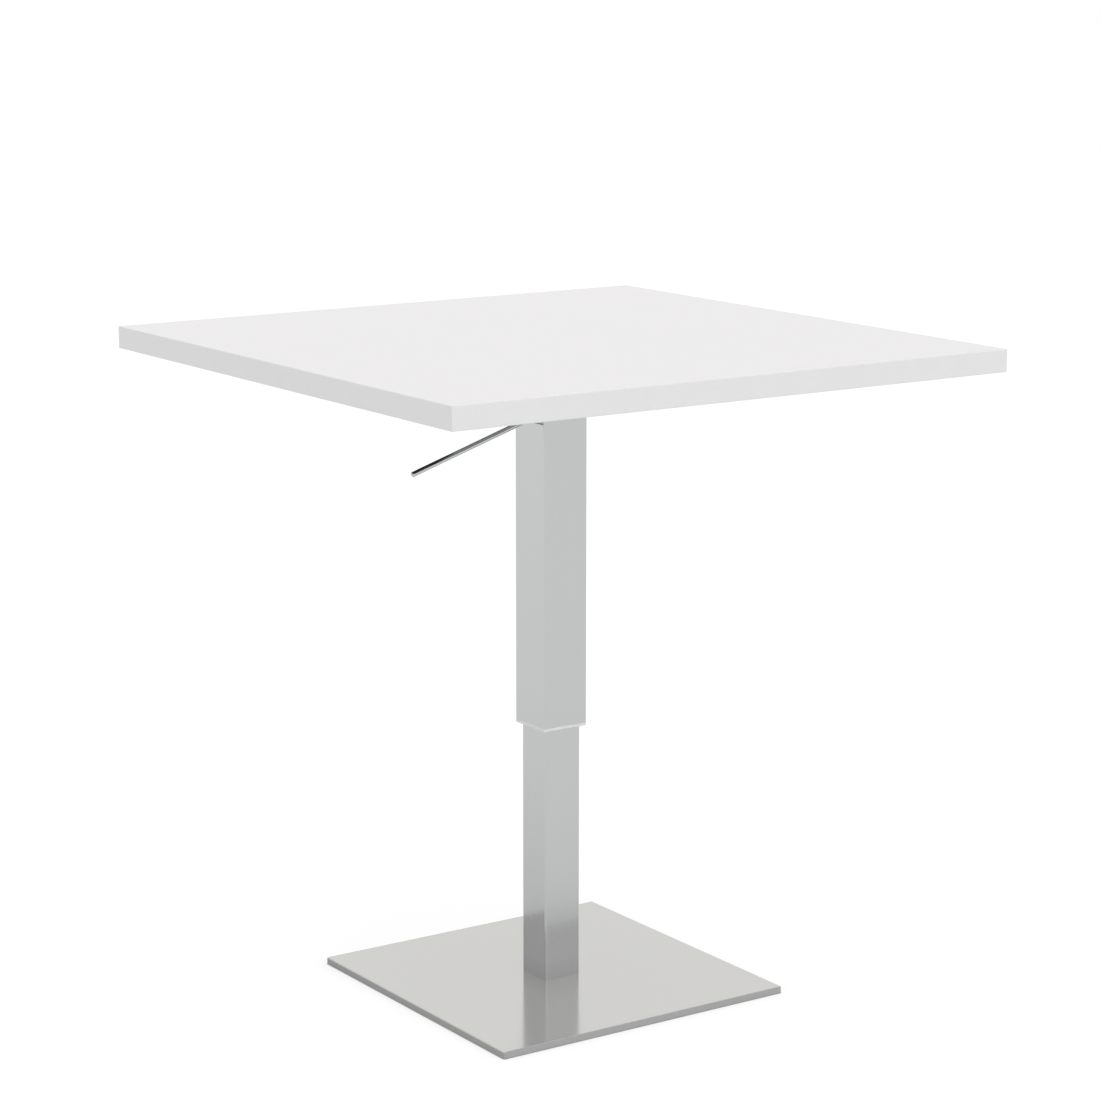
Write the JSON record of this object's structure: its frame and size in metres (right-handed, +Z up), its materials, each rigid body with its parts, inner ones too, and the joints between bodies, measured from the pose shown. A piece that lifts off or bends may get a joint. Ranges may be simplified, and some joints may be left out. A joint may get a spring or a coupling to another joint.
{
  "type": "telescoping pedestal table",
  "caption": "Square table top on a square telescoping column over a flat square base plate; a gas spring inside lifts it and a bar under the top releases it.",
  "frame": {"origin": "on the floor, in the middle of the table, on the column's axis", "axes": "+Z up along the column; -X towards the free end of the release bar"},
  "size_m": [0.75, 0.75, 0.7885],
  "materials": {
    "plate_steel": "fine brushed, satin",
    "tube_steel": "fine brushed, satin",
    "sleeve_steel": "fine brushed, satin",
    "flange_steel": "fine brushed, satin",
    "zinc_steel": "bright zinc plated",
    "cylinder_paint": "black satin paint",
    "chrome": "polished",
    "nylon": "natural moulded nylon",
    "seal_rubber": "matt",
    "pad_rubber": "matt",
    "laminate_white": "fine textured, satin",
    "backing_black": "matt",
    "edge_white": "satin",
    "chipboard": "raw pressed chips",
    "aluminium": "fine blasted",
    "brass": "turned"
  },
  "bodies": {
    "base": {"base_plate": "plate_steel", "base_pads": "pad_rubber", "inner_tube": "tube_steel", "foot_block": "zinc_steel", "foot_screws": "zinc_steel", "cylinder_nut": "zinc_steel", "gas_cylinder": "cylinder_paint", "cylinder_head": "aluminium", "rod_seal": "seal_rubber", "upper_guide": "nylon", "guide_screws": "zinc_steel"},
    "top": {"outer_sleeve": "sleeve_steel", "lower_guide_bush": "nylon", "top_flange": "flange_steel", "flange_screws": "zinc_steel", "flange_washers": "zinc_steel", "threaded_inserts": "brass", "tabletop_core": "chipboard", "top_laminate": "laminate_white", "backing_laminate": "backing_black", "edge_band_front": "edge_white", "edge_band_back": "edge_white", "edge_band_left": "edge_white", "edge_band_right": "edge_white", "spring_plate": "zinc_steel", "lock_nut": "zinc_steel", "piston_rod": "chrome", "piston": "aluminium", "release_head": "aluminium", "lever_pivot": "zinc_steel", "pivot_clips": "zinc_steel"},
    "lever": {"lever_hub": "zinc_steel", "lever_rod": "chrome"},
    "pin": {"release_pin": "chrome"}
  },
  "joints": [
    {"name": "column_slide", "type": "slide", "parent": "base", "child": "top", "axis": [0, 0, 1], "range_m": [-0.25, 0]},
    {"name": "lever_lift", "type": "hinge", "parent": "top", "child": "lever", "pos_m": [-0.012, 0, 0.70042], "axis": [0, 1, 0], "range_deg": [0, 10], "stiffness_Nm_per_rad": 1},
    {"name": "pin_press", "type": "slide", "parent": "top", "child": "pin", "axis": [0, 0, 1], "range_m": [-0.0023, 0]}
  ],
  "couplings": [
    {"joint": "pin_press", "follows": "lever_lift", "m_per_rad": -0.0125}
  ]
}
